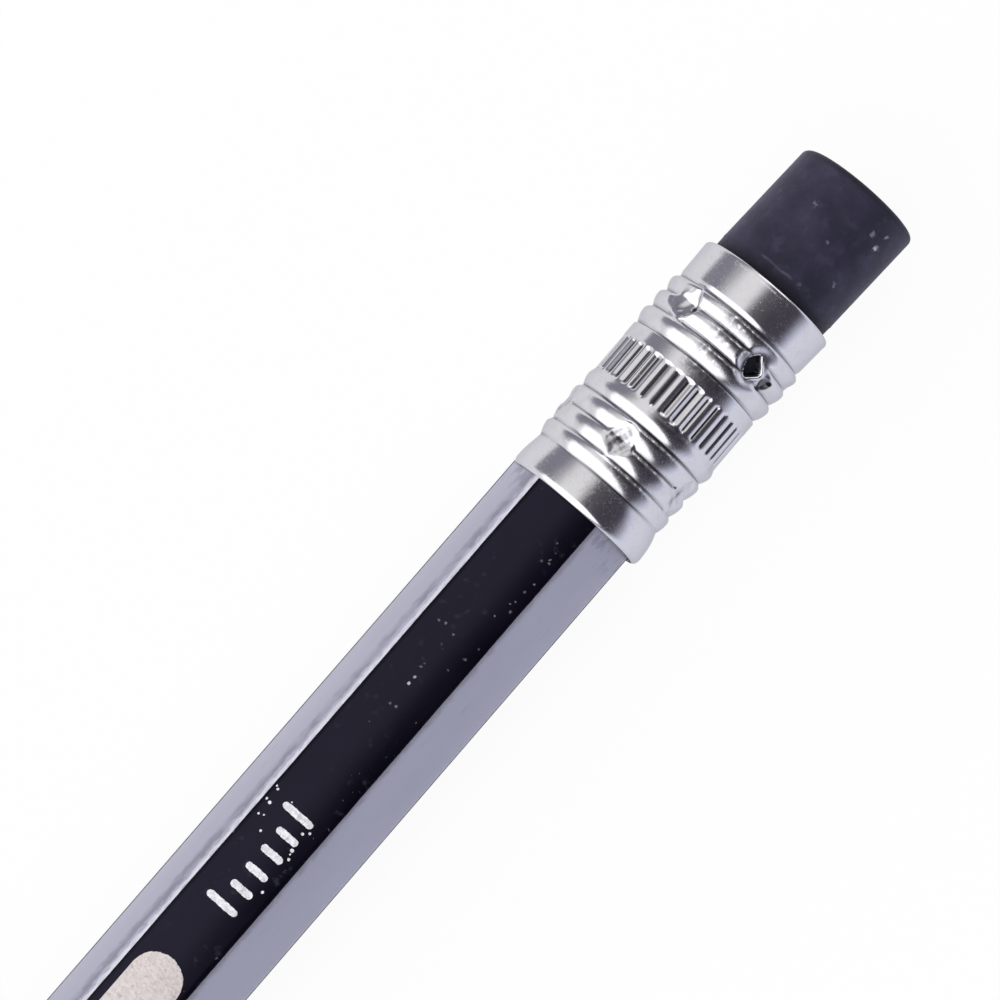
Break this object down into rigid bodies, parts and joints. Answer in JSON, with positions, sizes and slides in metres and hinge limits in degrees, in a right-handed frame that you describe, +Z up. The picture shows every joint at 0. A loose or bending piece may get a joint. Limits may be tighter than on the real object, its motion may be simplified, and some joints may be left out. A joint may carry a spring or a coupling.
{
  "type": "pencil",
  "caption": "Wood-cased hexagonal pencil with a sharpened graphite point, black striped silver lacquer, a beaded and fluted metal ferrule and a dark rubber eraser",
  "frame": {"origin": "under the middle of the pencil's length, on the surface that the pencil lies on, which the ferrule's mouth touches", "axes": "+X along the pencil from the point to the eraser, +Z up through the black flat that faces the picture's camera, +Y to the left when looking along +X"},
  "size_m": [0.188, 0.0082, 0.0083],
  "materials": {
    "casing_wood": "bare, sharpened",
    "glue": "dried adhesive",
    "graphite": "fired clay and graphite, slight sheen",
    "silver_lacquer": "metallic lacquer, satin gloss",
    "black_lacquer": "gloss lacquer",
    "ferrule_metal": "bright rolled",
    "eraser_rubber": "matt, dusty"
  },
  "bodies": {
    "root": {"slat_upper": "casing_wood", "slat_lower": "casing_wood", "glue_film_left": "glue", "glue_film_right": "glue", "graphite_core": "graphite", "base_lacquer": "silver_lacquer", "black_stripe_top": "black_lacquer", "black_stripe_left": "black_lacquer", "black_stripe_right": "black_lacquer", "ferrule": "ferrule_metal", "eraser_plug": "eraser_rubber"}
  },
  "joints": []
}
